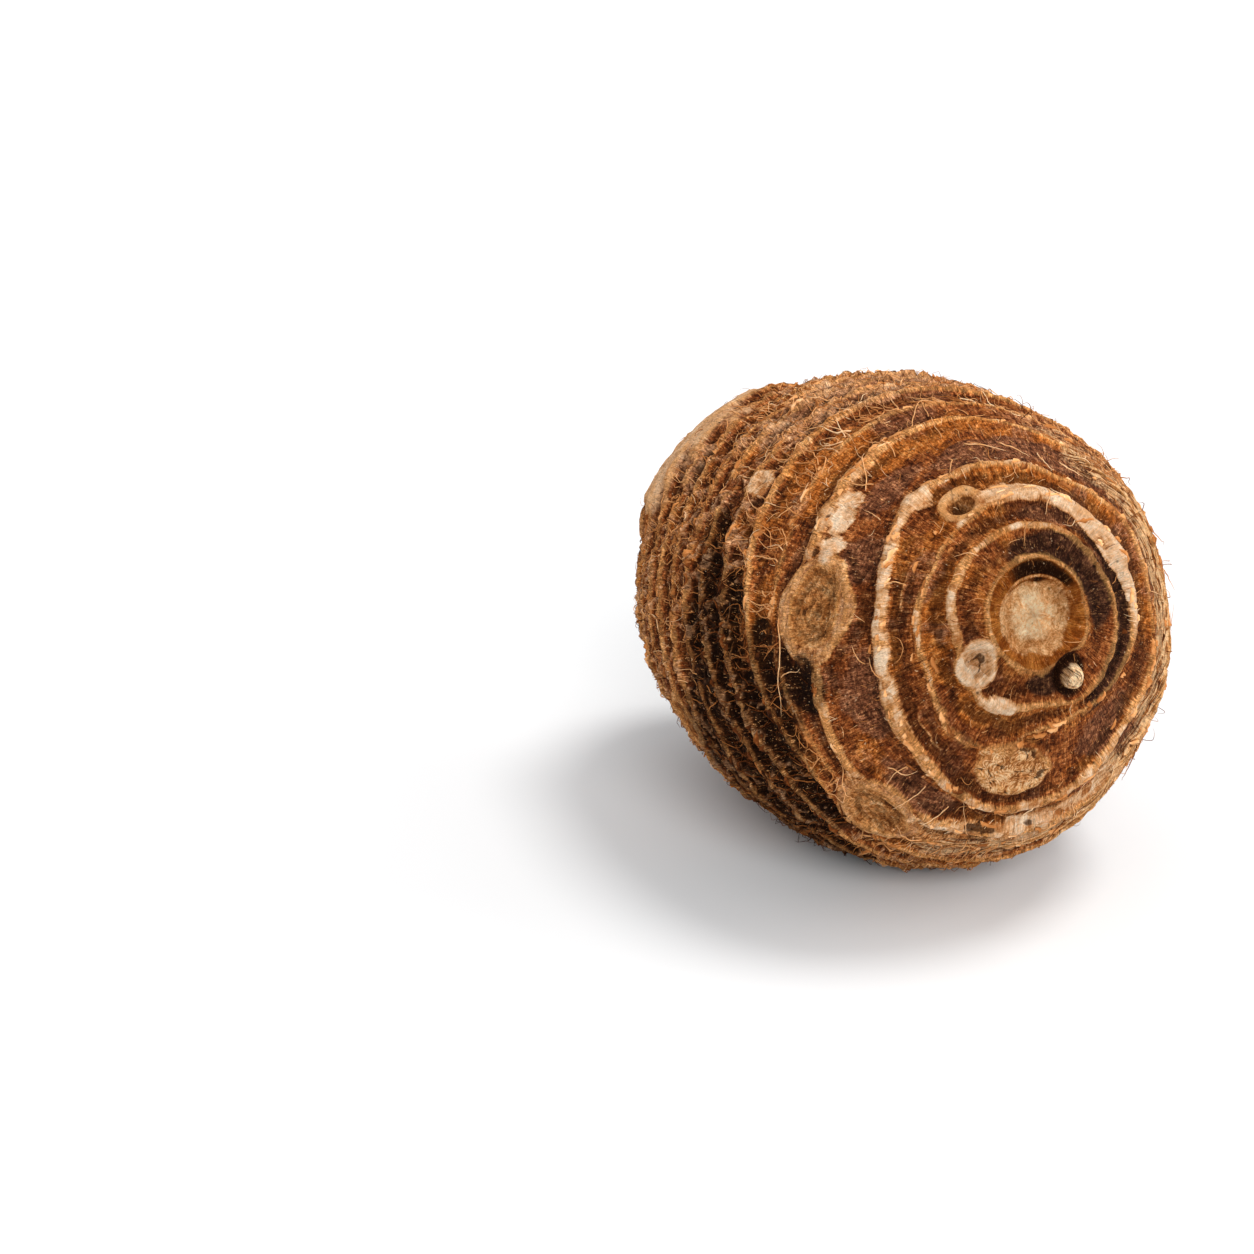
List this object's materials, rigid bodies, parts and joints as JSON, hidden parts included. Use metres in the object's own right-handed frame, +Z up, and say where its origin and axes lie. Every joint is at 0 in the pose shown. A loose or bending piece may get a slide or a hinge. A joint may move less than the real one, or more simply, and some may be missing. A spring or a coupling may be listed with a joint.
{
  "type": "taro root",
  "caption": "Whole taro root lying on its side: a squat oval corm with raised leaf-scar rings, bud scars, a netted tail end and a sunken stem scar at the crown.",
  "frame": {"origin": "centre of the bounding box's foot, on the surface that the root lies on", "axes": "-Y towards the crown with the stem scar, +Y towards the tail, +Z up. The root's own axis rises about 11 degrees towards the crown."},
  "size_m": [0.0964, 0.1376, 0.0957],
  "materials": {
    "skin": "rough fibrous brown skin, matt"
  },
  "bodies": {
    "root": {"corm": "skin"}
  },
  "joints": []
}
